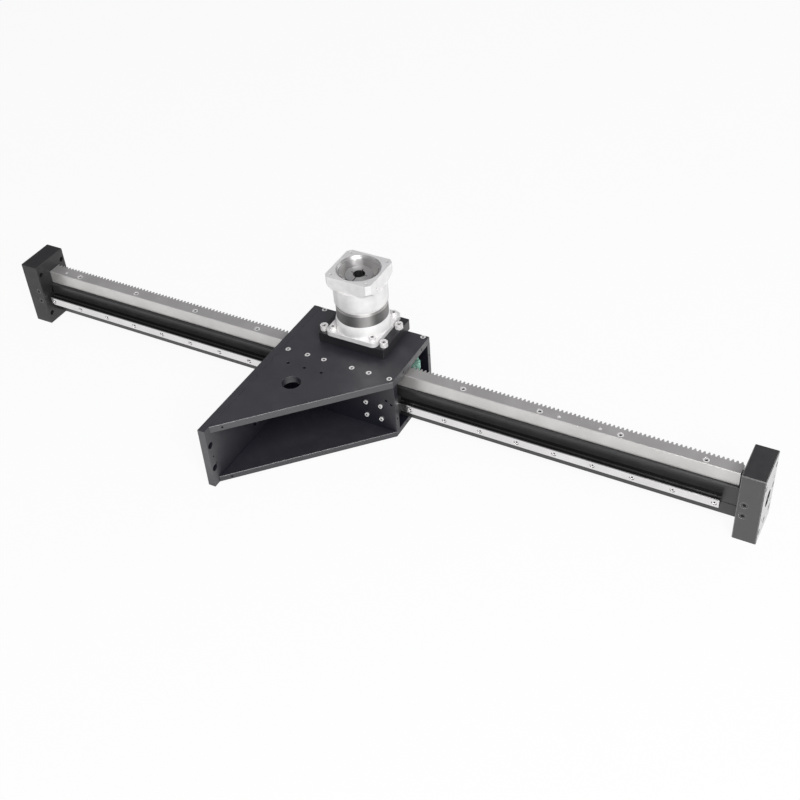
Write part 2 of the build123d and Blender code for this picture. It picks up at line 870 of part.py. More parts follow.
def edge_planes(level):
    """Cover holes in one plate's right edge and near the left end of its slanted front edge."""
    edge_middle = (gearbox_y + rack_back) / 2
    planes = [facing_side(box_right, edge_middle + s * cover_hole_spread / 2, level, 1) for s in (-1, 1)]
    run_x = box_right - plate_left
    run_y = guide_outer - box_front
    run = hypot(run_x, run_y)
    share = cover_hole_end / run
    spot = (plate_left + run_x * share, box_front + run_y * share, level)
    along = (run_x / run, run_y / run, 0)
    planes.append(Plane(origin=spot, x_dir=along, z_dir=(run_y / run, -run_x / run, 0)))
    return planes


cable_x = plate_left + cable_hole_side
cable_y = guide_outer - cable_hole_inset
accessory_y = guide_middle - accessory_hole_offset
accessory_places = [(cable_x + n * accessory_hole_pitch, accessory_y) for n in (-1, 0, 1)]

with BuildPart() as top_plate:
    add(plan_plate(top_face, top_thickness).part)
    screw_holes(top_screw_planes, "m5", top_thickness, head_height["m5"] + head_below_face)
    tapped_holes([facing_up(x, y, box_top) for x, y in adaptor_screw_places], "m8", top_thickness)
    with BuildSketch(Plane.XY.offset(top_face)):
        with Locations((gearbox_offset, gearbox_y)):
            SlotCenterToCenter(2 * slot_travel, 2 * pinion_passage, rotation=90)
        with Locations((cable_x, cable_y)):
            Circle(cable_hole_radius)
        with Locations(*accessory_places):
            Circle(accessory_hole_radius)
    extrude(amount=top_thickness, mode=Mode.SUBTRACT)
    bores(edge_planes(top_row_z), cover_hole_radius, cover_hole_depth)
    tapped_holes([facing_side(plate_left, y, top_row_z, -1) for y in side_row_y], "m5", side_screw_thread)
    tapped_holes([facing_down(felt_x, felt_y, top_face)], "m8", felt_axle_thread + end_play)
export(top_plate, "top_plate")

with BuildPart() as bottom_plate:
    add(plan_plate(box_bottom, bottom_thickness).part)
    screw_holes(bottom_screw_planes, "m5", bottom_thickness, head_height["m5"] + head_below_face)
    bores(edge_planes(bottom_row_z), cover_hole_radius, cover_hole_depth)
    bottom_row = [facing_side(plate_left, y, bottom_row_z, -1) for y in side_row_y]
    tapped_holes(bottom_row, "m5", side_screw_thread)
export(bottom_plate, "bottom_plate")


def wall(front, back):
    """Upright plate along X between the top and bottom plates, with its tapped holes."""
    middle = (front + back) / 2
    height = top_face - bottom_face
    with BuildPart() as upright:
        with BuildSketch(Plane.YZ.offset(plate_left)):
            with Locations((middle, bottom_face + height / 2)):
                Rectangle(back - front, height)
        extrude(amount=box_right - plate_left)
        spots = [(x, y) for x, y in plate_screw_places if abs(y - middle) < 1]
        tapped_holes([facing_up(x, y, top_face) for x, y in spots], "m5", plate_screw_thread)
        tapped_holes([facing_down(x, y, bottom_face) for x, y in spots], "m5", plate_screw_thread)
        near = [(y, z) for y, z in side_screw_places if abs(y - middle) < 1]
        inside = [facing_side(plate_left, y, z, -1) for y, z in near if bottom_face < z < top_face]
        tapped_holes(inside, "m5", side_screw_thread)
        ends = [facing_side(box_right, middle, box_middle + s * side_hole_spread / 2, 1) for s in (-1, 1)]
        bores(ends, cover_hole_radius, cover_hole_depth)
    return upright


port_places = [(box_right - inset, rack_top - drop) for inset, drop in port_insets]
with BuildPart() as guide_plate:
    add(wall(guide_outer, guide_inner).part)
    screw_holes(slide_screw_planes, "m4", guide_plate_thickness, head_height["m4"] - screw_proud)
    with BuildSketch(facing_front(0, guide_outer, 0)):
        with Locations(*port_places):
            Circle(port_radius_front)
    extrude(amount=-guide_plate_thickness, mode=Mode.SUBTRACT)
export(guide_plate, "guide_plate")

back_plate = wall(back_inner, back_outer)
export(back_plate, "back_plate")

window_low = bottom_face
window_high = rack_top + window_gap
window_front = rail_front - window_gap
window_back = beam_back + window_gap
first_row_y = mounting_front + machine_hole_inset
machine_row_y = [first_row_y, first_row_y + machine_row_pitch]
machine_places = [(y, box_middle + s * machine_hole_spread / 2) for y in machine_row_y for s in (-1, 1)]
with BuildPart() as mounting_plate:
    with BuildSketch(Plane.YZ.offset(box_left)):
        with Locations(((mounting_front + back_outer) / 2, box_middle)):
            Rectangle(back_outer - mounting_front, box_top - box_bottom)
        with Locations(((window_front + window_back) / 2, (window_low + window_high) / 2)):
            RectangleRounded(
                window_back - window_front, window_high - window_low, window_corner, mode=Mode.SUBTRACT
            )
        with Locations(*machine_places):
            Circle(machine_hole_radius, mode=Mode.SUBTRACT)
    extrude(amount=mounting_plate_thickness)
    with BuildSketch(Plane.YZ.offset(plate_left - machine_head_depth)):
        with Locations(*machine_places):
            Circle(machine_head_radius)
    extrude(amount=machine_head_depth, mode=Mode.SUBTRACT)
    screw_holes(side_screw_planes, "m5", mounting_plate_thickness, head_height["m5"] + head_below_face)
    stops = [facing_side(plate_left, mounting_front + inset, height, 1) for inset, height in stop_hole_places]
    bores(stops, stop_hole_radius, stop_hole_depth)
export(mounting_plate, "mounting_plate")

export(cap_screws(top_screw_planes, "m5", top_screw_length), "top_plate_screws")
export(cap_screws(bottom_screw_planes, "m5", bottom_screw_length), "bottom_plate_screws")
export(cap_screws(side_screw_planes, "m5", side_screw_length), "mounting_plate_screws")


# Adaptor plate under the gearbox, slotted so that the mesh can be set
flange_screw_places = [
    (gearbox_offset + a * flange_circle / 2 / sqrt(2), gearbox_y + b * flange_circle / 2 / sqrt(2))
    for a in (-1, 1)
    for b in (-1, 1)
]
with BuildPart() as adaptor_plate:
    with BuildSketch(Plane.XY.offset(box_top)):
        with Locations((gearbox_offset, adaptor_y)):
            Rectangle(adaptor_across, adaptor_along)
    extrude(amount=adaptor_thickness)
    corners = adaptor_plate.edges().filter_by(Axis.Z)
    fillet(corners, adaptor_corner)
    with BuildSketch(Plane.XY.offset(box_top)):
        with Locations((gearbox_offset, gearbox_y)):
            Circle(pinion_passage)
        with Locations(*adaptor_screw_places):
            SlotCenterToCenter(2 * slot_travel, 2 * (shank["m8"] + screw_clearance), rotation=90)
    extrude(amount=adaptor_thickness, mode=Mode.SUBTRACT)
    with BuildSketch(Plane.XY.offset(adaptor_top)):
        with Locations((gearbox_offset, gearbox_y)):
            Circle(flange_pilot_radius + fit)
    extrude(amount=-pilot_length - pilot_end_gap, mode=Mode.SUBTRACT)
    flange_threads = [facing_up(x, y, adaptor_top) for x, y in flange_screw_places]
    tapped_holes(flange_threads, "m6", flange_screw_thread)
export(adaptor_plate, "adaptor_plate")
export(cap_screws(adaptor_screw_planes, "m8", adaptor_screw_length), "adaptor_screws")

flange_screw_planes = [facing_up(x, y, flange_top) for x, y in flange_screw_places]
flange_screw_length = flange_thickness + flange_screw_thread - end_play
export(cap_screws(flange_screw_planes, "m6", flange_screw_length), "gearbox_flange_screws")


# Gearbox housings. Turned parts are drawn as half sections about the gearbox axis
axis_plane = Plane(origin=(gearbox_offset, gearbox_y, 0), x_dir=(1, 0, 0), z_dir=(0, -1, 0))
gearbox_axis = Axis((gearbox_offset, gearbox_y, 0), (0, 0, 1))


def turned(*points):
    """Ring or shaft turned from a closed half section of radius and height."""
    with BuildPart() as piece:
        with BuildSketch(axis_plane):
            with BuildLine():
                Polyline(*points, close=True)
            make_face()
        revolve(axis=gearbox_axis)
    return piece


def ring(inner, outer, low, high):
    """Plain ring about the gearbox axis."""
    return turned((inner, low), (outer, low), (outer, high), (inner, high))


seal_bottom = adaptor_top + seal_recess
seal_top = seal_bottom + seal_width
front_bearing_bottom = seal_top
front_bearing_top = front_bearing_bottom + output_bearing_width
back_bearing_bottom = front_bearing_top + end_play
back_bearing_top = back_bearing_bottom + output_bearing_width
carrier_bottom = max(ring_bottom, back_bearing_top) + end_play
carrier_top = carrier_bottom + carrier_thickness
stage_bottom = carrier_top + 2 * end_play
stage_top = stage_bottom + stage_width
flare_radius = flange_side / 2 + flare_reach

with BuildPart() as output_housing:
    with BuildSketch(axis_plane):
        with BuildLine():
            Polyline(
                (output_bearing_radius + fit, ring_bottom),
                (output_bearing_radius + fit, adaptor_top - pilot_length),
                (flange_pilot_radius, adaptor_top - pilot_length),
                (flange_pilot_radius, adaptor_top),
                (flange_side, adaptor_top),
                (flange_side, flange_top),
                (flare_radius, flange_top),
            )
            ThreePointArc(
                (flare_radius, flange_top),
                (ring_outer_radius + flare_belly, flange_top + (ring_bottom - flange_top) * flare_share),
                (ring_outer_radius, ring_bottom),
            )
            Line((ring_outer_radius, ring_bottom), (output_bearing_radius + fit, ring_bottom))
        make_face()
    revolve(axis=gearbox_axis)
    with BuildSketch(Plane.XY.offset(adaptor_top - pilot_length)):
        with Locations((gearbox_offset, gearbox_y)):
            RectangleRounded(flange_side, flange_side, flange_corner)
    extrude(amount=pilot_length + output_housing_height, mode=Mode.INTERSECT)
    screw_holes(flange_screw_planes, "m6", flange_thickness, head_height["m6"] + end_play)
export(output_housing, "output_housing")

with BuildPart() as ring_gear:
    with BuildSketch(Plane.XY.offset(ring_bottom)):
        with Locations((gearbox_offset, gearbox_y)):
            Circle(ring_outer_radius)
    extrude(amount=ring_height)
    ring_space = pi * stage_module / 2 + stage_thinning
    space = gear_sketch(
        Plane.XY.offset(ring_bottom),
        (gearbox_offset, gearbox_y),
        ring_teeth,
        stage_module,
        radians(stage_pressure_angle),
        tooth_foot * stage_module,
        stage_module,
        ring_space,
        0.0,
    )
    extrude(space, amount=ring_height, mode=Mode.SUBTRACT)
export(ring_gear, "ring_gear")

input_bearing_bottom = ring_top + input_neck_height
input_bearing_top = input_bearing_bottom + input_bearing_width
bearing_stop_top = input_bearing_top + bearing_stop
bearing_ledge = input_bearing_radius - bearing_shoulder
input_housing = turned(
    (bearing_ledge, ring_top),
    (input_neck_radius, ring_top),
    (input_neck_radius, ring_top + input_neck_height * input_neck_share),
    (input_housing_radius, ring_top + input_neck_height),
    (input_housing_radius, input_top),
    (hub_room_radius, input_top),
    (hub_room_radius, bearing_stop_top),
    (input_bearing_radius + fit, bearing_stop_top),
    (input_bearing_radius + fit, input_bearing_bottom),
    (bearing_ledge, input_bearing_bottom),
)
export(input_housing, "input_housing")

collar_top = motor_face - collar_below_face
collar_bottom = collar_top - collar_height
collar_screw_z = collar_top - collar_screw_drop
collar_screw_y = gearbox_y - collar_screw_offset
with BuildPart() as motor_flange:
    with BuildSketch(Plane.XY.offset(input_top)):
        with Locations((gearbox_offset, gearbox_y)):
            RectangleRounded(motor_side, motor_side, motor_corner)
    extrude(amount=motor_flange_height)
    with BuildSketch(axis_plane):
        with BuildLine():
            Polyline(
                (0, input_top),
                (motor_foot_radius, input_top),
                (motor_corner_radius, input_top + motor_foot_rise),
                (motor_corner_radius, motor_face),
                (0, motor_face),
                close=True,
            )
        make_face()
    revolve(axis=gearbox_axis, mode=Mode.INTERSECT)
    with Locations((gearbox_offset, gearbox_y, motor_face)):
        CounterBoreHole(hub_room_radius, motor_pilot_radius, motor_pilot_depth, motor_flange_height)
    with BuildSketch(Plane.XY.offset(motor_face)):
        with Locations((gearbox_offset, gearbox_y)):
            with PolarLocations(motor_circle / 2, 4, start_angle=45):
                Circle(motor_hole_radius)
    extrude(amount=-motor_hole_depth, mode=Mode.SUBTRACT)
    access_mouth = facing_side(gearbox_offset + motor_side / 2, collar_screw_y, collar_screw_z, 1)
    bores([access_mouth], access_hole_radius + fit, motor_side / 2)
export(motor_flange, "motor_flange")

with BuildPart() as access_plug:
    plug_face = gearbox_offset + motor_side / 2 - plug_inset
    with BuildSketch(facing_side(plug_face, collar_screw_y, collar_screw_z, 1)):
        Circle(access_hole_radius)
    extrude(amount=-plug_length)
    with BuildSketch(facing_side(plug_face, collar_screw_y, collar_screw_z, 1)):
        RegularPolygon(plug_key / 2, 6, major_radius=False)
    extrude(amount=-plug_key_depth, mode=Mode.SUBTRACT)
export(access_plug, "access_plug")

export(ring(shaft_radius + running_fit, output_bearing_radius, seal_bottom, seal_top), "output_seal")


def bearing_rings(inner, outer, low, width):
    """Inner and outer race of a closed ball bearing as two rings with a shield."""
    wall_size = (outer - inner) * bearing_ring_share
    shield_low = low + width * bearing_shield_share
    shield_high = low + width * (1 - bearing_shield_share)
    with BuildPart() as races:
        with BuildSketch(axis_plane):
            with BuildLine():
                Polyline(
                    (inner, low),
                    (inner + wall_size, low),
                    (inner + wall_size, shield_low),
                    (outer - wall_size, shield_low),
                    (outer - wall_size, low),
                    (outer, low),
                    (outer, low + width),
                    (outer - wall_size, low + width),
                    (outer - wall_size, shield_high),
                    (inner + wall_size, shield_high),
                    (inner + wall_size, low + width),
                    (inner, low + width),
                    close=True,
                )
            make_face()
        revolve(axis=gearbox_axis)
    return races


bearing_bore = shaft_radius + running_fit
export(
    bearing_rings(bearing_bore, output_bearing_radius, front_bearing_bottom, output_bearing_width),
    "output_bearing_front",
)
export(
    bearing_rings(bearing_bore, output_bearing_radius, back_bearing_bottom, output_bearing_width),
    "output_bearing_back",
)
input_bore = hub_radius + running_fit
export(
    bearing_rings(input_bore, input_bearing_radius, input_bearing_bottom, input_bearing_width),
    "input_bearing",
)


# Output shaft with the planet carrier, and the pinion keyed to its end
pinion_bottom = rack_bottom + pinion_lift
pinion_top = pinion_bottom + pinion_width
washer_room = washer_thickness + pinion_screw_head + head_below_face
shaft_end = pinion_bottom + washer_room
key_low = shaft_end + key_inset
key_inner = pinion_seat_radius - key_shaft_depth
key_outer = pinion_seat_radius + key_hub_depth
planet_angles = [radians(90 + 360 / planet_count * n) for n in range(planet_count)]
planet_places = [
    (gearbox_offset + planet_orbit * cos(a), gearbox_y + planet_orbit * sin(a)) for a in planet_angles
]

with BuildPart() as output_shaft:
    add(
        turned(
            (0, shaft_end),
            (pinion_seat_radius, shaft_end),
            (pinion_seat_radius, pinion_top),
            (shaft_radius, pinion_top),
            (shaft_radius, carrier_bottom - end_play),
            (shaft_radius + carrier_shoulder, carrier_bottom - end_play),
            (shaft_radius + carrier_shoulder, carrier_bottom),
            (carrier_radius, carrier_bottom),
            (carrier_radius, carrier_top),
            (0, carrier_top),
        ).part
    )
    with BuildSketch(Plane.XY.offset(key_low)):
        with Locations((gearbox_offset, gearbox_y + pinion_seat_radius)):
            Rectangle(key_width + 2 * fit, 2 * (key_shaft_depth + fit))
    extrude(amount=key_length + fit, mode=Mode.SUBTRACT)
    with BuildSketch(Plane.XY.offset(shaft_end)):
        with Locations((gearbox_offset, gearbox_y)):
            Circle(shank["m6"] + thread_clearance)
    extrude(amount=pinion_screw_thread + end_play, mode=Mode.SUBTRACT)
    with BuildSketch(Plane.XY.offset(carrier_bottom)):
        with Locations(*planet_places):
            Circle(planet_pin_radius + fit)
    extrude(amount=carrier_thickness, mode=Mode.SUBTRACT)
export(output_shaft, "output_shaft")

with BuildPart() as planet_pins:
    with BuildSketch(Plane.XY.offset(carrier_bottom)):
        with Locations(*planet_places):
            Circle(planet_pin_radius)
    extrude(amount=stage_top + end_play - carrier_bottom)
export(planet_pins, "planet_pins")

with BuildPart() as pinion_key:
    with BuildSketch(Plane.XY.offset(key_low)):
        with Locations((gearbox_offset, gearbox_y + (key_inner + key_outer) / 2)):
            Rectangle(key_width, key_outer - key_inner)
    extrude(amount=key_length)
export(pinion_key, "pinion_key")


def helical_gear(centre_x, centre_y, low, width, teeth, pitch_radius):
    """Helical gear in mesh with the rack at rest, twisted along its width."""
    mesh_middle = rack_bottom + rack_height / 2
    along = (centre_x - beam_start) / transverse_pitch - 0.5
    offset = (round(along) - along) * transverse_pitch
    shift_at_foot = (low - mesh_middle) * lean
    space_angle = -pi / 2 + (offset + shift_at_foot) / pitch_radius
    thickness = pi * transverse_module / 2 - tooth_thinning
    outline = gear_sketch(
        Plane.XY.offset(low),
        (centre_x, centre_y),
        teeth,
        transverse_module,
        transverse_angle,
        module,
        tooth_foot * module,
        thickness,
        space_angle + pi / teeth,
    )
    twist = degrees(width * lean / pitch_radius)
    return Solid.extrude_linear_with_rotation(
        outline.faces()[0], (centre_x, centre_y, low), (0, 0, width), twist
    )


pinion_blank = helical_gear(
    gearbox_offset, gearbox_y, pinion_bottom, pinion_width, pinion_teeth, pinion_pitch_radius
)
washer_seat = facing_up(gearbox_offset, gearbox_y, shaft_end)
with BuildPart() as pinion:
    add(pinion_blank)
    bores([washer_seat], washer_radius + washer_clearance, washer_room)
    with BuildSketch(Plane.XY.offset(shaft_end)):
        with Locations((gearbox_offset, gearbox_y)):
            Circle(pinion_seat_radius + fit)
        with Locations((gearbox_offset, gearbox_y + key_outer / 2)):
            Rectangle(key_width + 2 * fit, key_outer + 2 * fit)
    extrude(amount=pinion_top - shaft_end, mode=Mode.SUBTRACT)
export(pinion, "pinion")

with BuildPart() as pinion_washer:
    add(ring(shank["m6"] + screw_clearance, washer_radius, shaft_end - washer_thickness, shaft_end).part)
export(pinion_washer, "pinion_washer")

with BuildPart() as pinion_screw:
    with BuildSketch(Plane.XY.offset(shaft_end - washer_thickness)):
        with Locations((gearbox_offset, gearbox_y)):
            Circle(head["m6"])
    extrude(amount=-pinion_screw_head)
    with BuildSketch(Plane.XY.offset(shaft_end - washer_thickness)):
        with Locations((gearbox_offset, gearbox_y)):
            Circle(shank["m6"])
    extrude(amount=washer_thickness + pinion_screw_thread)
    with BuildSketch(Plane.XY.offset(shaft_end - washer_thickness - pinion_screw_head)):
        with Locations((gearbox_offset, gearbox_y)):
            RegularPolygon(pinion_screw_key / 2, 6, major_radius=False)
    extrude(amount=pinion_screw_key_depth, mode=Mode.SUBTRACT)
export(pinion_screw, "pinion_screw")


# Planetary stage: every tooth is placed so that the meshes hold at rest
def spur_gear(centre, teeth, phase):
    """Straight gear of the planetary stage, still without a bore."""
    with BuildPart() as gear:
        outline = gear_sketch(
            Plane.XY.offset(stage_bottom),
            centre,
            teeth,
            stage_module,
            radians(stage_pressure_angle),
            stage_module,
            tooth_foot * stage_module,
            pi * stage_module / 2 - stage_thinning,
            phase,
        )
        extrude(outline, amount=stage_width)
    return gear


needle_outer = planet_pin_radius + needle_ring
for number, (angle, place) in enumerate(zip(planet_angles, planet_places), start=1):
    with BuildPart() as planet:
        add(spur_gear(place, planet_teeth, angle).part)
        bores([facing_up(*place, stage_top)], needle_outer + fit, stage_width)
    export(planet, f"planet_gear_{number}")
    with BuildPart() as needle_cage:
        with BuildSketch(Plane.XY.offset(stage_bottom)):
            with Locations(place):
                Circle(needle_outer)
                Circle(planet_pin_radius + fit, mode=Mode.SUBTRACT)
        extrude(amount=stage_width)
    export(needle_cage, f"planet_needles_{number}")

sun_stem_top = input_bearing_bottom + sun_stem_grip
with BuildPart() as sun_gear:
    add(spur_gear((gearbox_offset, gearbox_y), sun_teeth, planet_angles[0]).part)
    with BuildSketch(Plane.XY.offset(stage_bottom)):
        with Locations((gearbox_offset, gearbox_y)):
            Circle(sun_stem_radius)
    extrude(amount=sun_stem_top - stage_bottom)
export(sun_gear, "sun_gear")


# Input hub: a split sleeve in the input bearing, closed on the motor shaft by a collar
hub_bottom = ring_top + hub_lift
sleeve_floor = collar_top - motor_shaft_depth
with BuildPart() as input_hub:
    add(
        turned(
            (sun_stem_radius + fit, hub_bottom),
            (hub_radius, hub_bottom),
            (hub_radius, collar_top),
            (motor_shaft_radius, collar_top),
            (motor_shaft_radius, sleeve_floor),
            (sun_stem_radius + fit, sleeve_floor),
        ).part
    )
    with BuildSketch(Plane.XY.offset(collar_top)):
        with Locations((gearbox_offset, gearbox_y)):
            with PolarLocations((motor_shaft_radius + hub_radius) / 2, 4, start_angle=90):
                Rectangle(hub_radius - motor_shaft_radius + slit_width, slit_width)
    extrude(amount=-collar_height, mode=Mode.SUBTRACT)
export(input_hub, "input_hub")

collar_screw_plane = facing_side(gearbox_offset + collar_seat_reach, collar_screw_y, collar_screw_z, 1)
with BuildPart() as clamp_collar:
    add(ring(hub_radius + fit, collar_radius, collar_bottom, collar_top).part)
    with BuildSketch(Plane.XY.offset(collar_bottom)):
        with Locations((gearbox_offset, gearbox_y - (hub_radius + collar_radius) / 2)):
            Rectangle(slit_width, collar_radius - hub_radius + slit_width)
    extrude(amount=collar_height, mode=Mode.SUBTRACT)
    with BuildSketch(collar_screw_plane):
        Circle(shank["m4"] + thread_clearance)
    extrude(amount=-collar_seat_reach - collar_radius, mode=Mode.SUBTRACT)
    with BuildSketch(collar_screw_plane):
        Circle(head["m4"] + head_clearance)
    extrude(amount=collar_radius, mode=Mode.SUBTRACT)
export(clamp_collar, "clamp_collar")
export(cap_screws([collar_screw_plane], "m4", collar_screw_length), "clamp_screw")


# Felt gear that oils the rack, turning on a shouldered bolt under the top plate
felt_bottom = rack_bottom + felt_lift
felt_top = felt_bottom + felt_width
axle_foot = felt_bottom - felt_gap
axle_shoulder = felt_top + felt_flange_thickness + felt_gap
with BuildPart() as felt_gear:
    add(helical_gear(felt_x, felt_y, felt_bottom, felt_width, felt_teeth, felt_pitch_radius))
    with BuildSketch(Plane.XY.offset(felt_bottom)):
        with Locations((felt_x, felt_y)):
            Circle(felt_hub_radius + fit)
    extrude(amount=felt_width, mode=Mode.SUBTRACT)
export(felt_gear, "felt_gear")

with BuildPart() as felt_hub:
    with BuildSketch(Plane.XY.offset(felt_bottom)):
        with Locations((felt_x, felt_y)):
            Circle(felt_hub_radius)
            Circle(felt_axle_radius + running_fit, mode=Mode.SUBTRACT)
    extrude(amount=felt_width)
    with BuildSketch(Plane.XY.offset(felt_top)):
        with Locations((felt_x, felt_y)):
            Circle(felt_hub_flange)
            Circle(felt_axle_radius + running_fit, mode=Mode.SUBTRACT)
    extrude(amount=felt_flange_thickness)
export(felt_hub, "felt_gear_hub")

with BuildPart() as felt_axle:
    with BuildSketch(Plane.XY.offset(axle_foot)):
        with Locations((felt_x, felt_y)):
            Circle(felt_axle_radius)
    extrude(amount=top_face + felt_axle_thread - axle_foot)
    with BuildSketch(Plane.XY.offset(axle_foot)):
        with Locations((felt_x, felt_y)):
            Circle(felt_axle_collar)
    extrude(amount=-felt_axle_foot)
    with BuildSketch(Plane.XY.offset(axle_shoulder)):
        with Locations((felt_x, felt_y)):
            Circle(felt_axle_collar)
    extrude(amount=top_face - axle_shoulder)
export(felt_axle, "felt_gear_axle")
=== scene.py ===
"""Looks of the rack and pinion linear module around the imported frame, in metres."""

import bpy
from mathutils import Matrix, Vector


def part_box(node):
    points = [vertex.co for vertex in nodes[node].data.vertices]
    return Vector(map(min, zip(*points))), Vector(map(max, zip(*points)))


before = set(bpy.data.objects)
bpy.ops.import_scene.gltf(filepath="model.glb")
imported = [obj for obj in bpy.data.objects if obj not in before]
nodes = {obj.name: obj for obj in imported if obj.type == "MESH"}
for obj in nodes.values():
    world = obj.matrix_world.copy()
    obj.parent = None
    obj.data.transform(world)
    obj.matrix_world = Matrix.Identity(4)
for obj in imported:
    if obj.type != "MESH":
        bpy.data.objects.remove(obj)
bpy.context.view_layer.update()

# Camera fitted to the photograph, with lengths in pixels of an 800 pixel frame
FRAME_PIXELS = 800.0
FOCAL_PIXELS = 1216.95
CENTRE_PIXELS = (386.335, 363.251)
SENSOR_MM = 36.0
CAMERA_PLACE = (0.8269, -1.16762, 1.29484)
CAMERA_RIGHT = (0.877905, 0.474430, -0.064796)
CAMERA_DOWN = (0.255082, -0.577891, -0.775226)
CAMERA_FORWARD = (-0.405236, 0.664047, -0.628352)

# Sockets of the colour mix node
MIX_FACTOR, MIX_FIRST, MIX_SECOND, MIX_RESULT = 0, 6, 7, 2

# Width over which the masks around an axis fade, in metres
MASK_BLUR = 0.0002


class Surface:
    """A material's node tree, with one short call for each kind of node used here."""

    def __init__(self, name):
        self.material = bpy.data.materials.new(name)
        self.material.use_nodes = True
        self.tree = self.material.node_tree
        self.shader = self.tree.nodes["Principled BSDF"]
        self.coordinates = self.add("ShaderNodeTexCoord")
        self.colour = None

    def add(self, kind, **values):
        node = self.tree.nodes.new(kind)
        for key, value in values.items():
            setattr(node, key, value)
        return node

    def link(self, source, target):
        self.tree.links.new(source, target)

    def noise(self, size, stretch=(1.0, 1.0, 1.0), detail=3.0):
        """Noise whose features are about size metres, pulled out where stretch is below 1."""
        place = self.add("ShaderNodeMapping")
        place.inputs["Scale"].default_value = stretch
        self.link(self.coordinates.outputs["Object"], place.inputs["Vector"])
        node = self.add("ShaderNodeTexNoise")
        node.inputs["Scale"].default_value = 1.0 / size
        node.inputs["Detail"].default_value = detail
        self.link(place.outputs["Vector"], node.inputs["Vector"])
        return node.outputs["Fac"]

    def remap(self, value, low, high, first, second):
        node = self.add("ShaderNodeMapRange")
        for name, number in zip(("From Min", "From Max", "To Min", "To Max"), (low, high, first, second)):
            node.inputs[name].default_value = number
        self.link(value, node.inputs["Value"])
        return node.outputs["Result"]

    def mix(self, factor, first, second):
        """Colour between two others, each a colour or the output of a node."""
        node = self.add("ShaderNodeMix", data_type="RGBA")
        self.link(factor, node.inputs[MIX_FACTOR])
        for index, colour in ((MIX_FIRST, first), (MIX_SECOND, second)):
            if isinstance(colour, tuple):
                node.inputs[index].default_value = (*colour, 1.0)
            else:
                self.link(colour, node.inputs[index])
        return node.outputs[MIX_RESULT]

    def edges(self, radius):
        """Rounded normal of the sharp edges, and a mask that is 1 on them."""
        bevel = self.add("ShaderNodeBevel", samples=6)
        bevel.inputs["Radius"].default_value = radius
        geometry = self.add("ShaderNodeNewGeometry")
        dot = self.add("ShaderNodeVectorMath", operation="DOT_PRODUCT")
        self.link(bevel.outputs["Normal"], dot.inputs[0])
        self.link(geometry.outputs["Normal"], dot.inputs[1])
        return bevel.outputs["Normal"], self.remap(dot.outputs["Value"], 0.995, 0.90, 0.0, 1.0)

    def bump(self, height, distance, normal=None, strength=1.0):
        node = self.add("ShaderNodeBump")
        node.inputs["Strength"].default_value = strength
        node.inputs["Distance"].default_value = distance
        self.link(height, node.inputs["Height"])
        if normal is not None:
            self.link(normal, node.inputs["Normal"])
        return node.outputs["Normal"]

    def times(self, first, second):
        node = self.add("ShaderNodeMath", operation="MULTIPLY")
        self.link(first, node.inputs[0])
        self.link(second, node.inputs[1])
        return node.outputs["Value"]

    def occluded_shade(self, reach, low=0.55, high=0.85, own=True):
        """Mask for painted shade, 1 deep inside sockets and slots of this piece, or between all pieces."""
        node = self.add("ShaderNodeAmbientOcclusion", samples=6, only_local=own)
        node.inputs["Distance"].default_value = reach
        return self.remap(node.outputs["AO"], high, low, 0.0, 1.0)

    def along(self, axis, low, high):
        """Mask that goes from 0 to 1 between two places along an axis of the piece."""
        split = self.add("ShaderNodeSeparateXYZ")
        self.link(self.coordinates.outputs["Object"], split.inputs["Vector"])
        return self.remap(split.outputs[axis], low, high, 0.0, 1.0)

    def offset(self, centre):
        """Vector from an upright axis to the point being shaded."""
        node = self.add("ShaderNodeVectorMath", operation="SUBTRACT")
        self.link(self.coordinates.outputs["Object"], node.inputs[0])
        node.inputs[1].default_value = centre
        flat = self.add("ShaderNodeVectorMath", operation="MULTIPLY")
        self.link(node.outputs["Vector"], flat.inputs[0])
        flat.inputs[1].default_value = (1.0, 1.0, 0.0)
        return flat.outputs["Vector"]

    def inside(self, centre, radius):
        """Mask that is 1 nearer than radius to an upright axis."""
        reach = self.add("ShaderNodeVectorMath", operation="LENGTH")
        self.link(self.offset(centre), reach.inputs[0])
        return self.remap(reach.outputs["Value"], radius, radius - MASK_BLUR, 0.0, 1.0)

    def colour_where(self, mask, colour):
        """Lay another colour over the piece's own where a mask is 1."""
        self.link(self.mix(mask, self.colour, colour), self.shader.inputs["Base Color"])

    def across_grooves(self, centre):
        """Direction square to the grooves that turning leaves: up a wall, outward on a face."""
        unit = self.add("ShaderNodeVectorMath", operation="NORMALIZE")
        self.link(self.offset(centre), unit.inputs[0])
        total = self.add("ShaderNodeVectorMath", operation="ADD")
        self.link(unit.outputs["Vector"], total.inputs[0])
        total.inputs[1].default_value = (0.0, 0.0, 1.0)
        turn = self.add("ShaderNodeVectorTransform", vector_type="VECTOR", convert_from="OBJECT",
                        convert_to="WORLD")
        self.link(total.outputs["Vector"], turn.inputs["Vector"])
        return turn.outputs["Vector"]

    def plain(self, **values):
        for key, value in values.items():
            self.shader.inputs[key.replace("_", " ")].default_value = value


EVEN = (1.0, 1.0, 1.0)
LONGWAYS = (0.01, 1.0, 1.0)
ROUND = (1.0, 1.0, 6.0)
SOCKET_SHADE = (0.012, 0.012, 0.012)
ring_low, ring_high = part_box("ring_gear")
gearbox_axis = ((ring_low + ring_high) / 2)[:]


